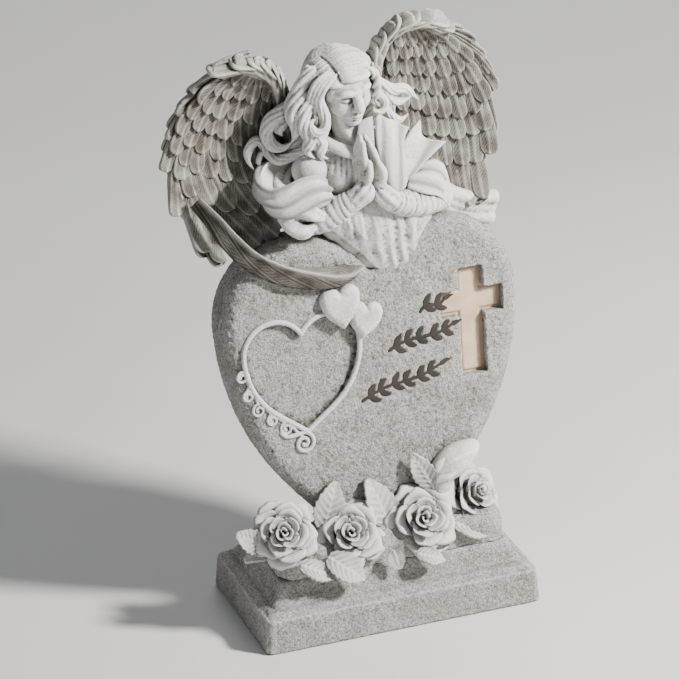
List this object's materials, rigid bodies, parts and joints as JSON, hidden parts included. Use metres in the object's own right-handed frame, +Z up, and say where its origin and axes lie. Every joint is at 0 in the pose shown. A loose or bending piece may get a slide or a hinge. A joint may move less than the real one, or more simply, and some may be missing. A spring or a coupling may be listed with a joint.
{
  "type": "memorial angel figurine",
  "caption": "Cast stone-effect angel praying over an upright heart on a stepped plinth with roses, with a cross-shaped window lit by a small solar lamp in the back.",
  "frame": {"origin": "centre of the flat underside of the plinth", "axes": "+X to the viewer's right seen from the front, +Y to the back, +Z up; the figure faces -Y"},
  "size_m": [0.1738, 0.0844, 0.2903],
  "materials": {
    "stone": "granular light grey cast stone with darker wash in the pits",
    "carved": "fine pale grey cast stone with dark wash in the folds",
    "wing": "grey-brown washed cast stone, paler on the feather edges",
    "window": "translucent satin amber",
    "black_plastic": "fine matte",
    "grey_plastic": "fine matte",
    "gasket_rubber": "soft matte",
    "solar_cell": "gloss resin over dark blue cells",
    "circuit_board": "solder mask",
    "led_lens": "clear epoxy",
    "battery_jacket": "satin printed jacket",
    "wire_red": "pvc",
    "steel": "plated"
  },
  "bodies": {
    "figurine": {"plinth": "stone", "heart_stone": "stone", "cross_window": "window", "flower_mound": "stone", "rose_1": "carved", "rose_2": "carved", "rose_3": "carved", "rose_4": "carved", "rose_bud": "carved", "rose_leaves": "carved", "torso": "carved", "head": "carved", "hair": "carved", "arm_left": "carved", "arm_right": "carved", "skirt": "carved", "shawl_left": "carved", "shawl_right": "carved", "wing_left": "wing", "wing_right": "wing", "draped_feather": "wing", "small_hearts": "carved", "unit_tray": "black_plastic", "led_board": "circuit_board", "leds": "led_lens", "battery_holder": "black_plastic", "battery": "battery_jacket", "battery_spring": "steel", "battery_contact": "steel", "lead_wires": "wire_red", "gasket": "gasket_rubber", "unit_bezel": "black_plastic", "solar_panel": "solar_cell", "bezel_screws": "steel", "switch_body": "grey_plastic"},
    "switch": {"switch_knob": "grey_plastic"},
    "door": {"battery_door": "black_plastic", "door_screw": "steel"}
  },
  "joints": [
    {"name": "power_switch", "type": "slide", "parent": "figurine", "child": "switch", "axis": [1, 0, 0], "range_m": [0, 0.003]},
    {"name": "battery_door_off", "type": "slide", "parent": "figurine", "child": "door", "axis": [0, 0.9919, -0.1271], "range_m": [0, 0.03]}
  ]
}
